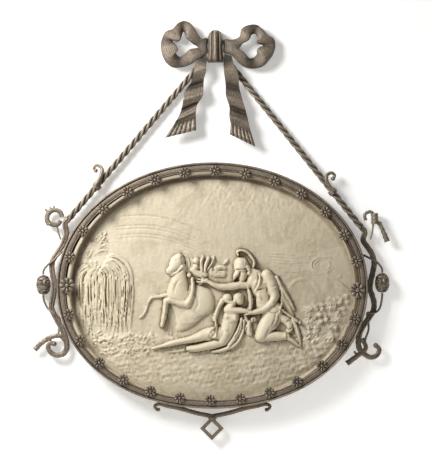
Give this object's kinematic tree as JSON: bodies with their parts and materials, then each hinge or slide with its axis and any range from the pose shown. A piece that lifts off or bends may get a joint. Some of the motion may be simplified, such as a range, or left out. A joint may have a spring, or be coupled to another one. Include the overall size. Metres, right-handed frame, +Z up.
{
  "type": "marble relief plaque",
  "caption": "Oval carved marble relief in a wrought iron frame with rosettes, hung by twisted iron ropes from an iron ribbon bow.",
  "frame": {"origin": "flat back of the bow's knot, in the plane of the wall, at the middle of the knot", "axes": "+Z up, +X to the viewer's right; the carved front faces -Y and the wall is the plane Y = 0"},
  "size_m": [0.6942, 0.0443, 0.8135],
  "materials": {
    "iron": "filed and waxed wrought iron, brown patina",
    "rope_iron": "twisted iron rods, brown patina",
    "marble": "honed cream marble, yellowed in the hollows"
  },
  "bodies": {
    "root": {"frame_ring": "iron", "rosette_left": "iron", "rosette_right": "iron", "rosette_01": "iron", "rosette_02": "iron", "rosette_03": "iron", "rosette_04": "iron", "rosette_05": "iron", "rosette_06": "iron", "rosette_07": "iron", "rosette_08": "iron", "rosette_09": "iron", "rosette_10": "iron", "rosette_11": "iron", "rosette_12": "iron", "rosette_13": "iron", "rosette_14": "iron", "rosette_15": "iron", "rosette_16": "iron", "rosette_17": "iron", "rosette_18": "iron", "rosette_19": "iron", "rosette_20": "iron", "rosette_21": "iron", "rosette_22": "iron", "rosette_23": "iron", "rosette_24": "iron", "rosette_25": "iron", "rosette_26": "iron", "left_bracket": "iron", "left_bud": "iron", "right_bracket": "iron", "right_bud": "iron", "left_rope_hook": "iron", "right_rope_hook": "iron", "bottom_bracket": "iron", "bow_knot": "iron", "bow_loop_left": "iron", "bow_loop_right": "iron", "bow_tail_left": "iron", "bow_tail_right": "iron", "left_rope": "rope_iron", "left_rope_knot": "rope_iron", "right_rope": "rope_iron", "right_rope_knot": "rope_iron", "marble_relief": "marble"}
  },
  "joints": []
}
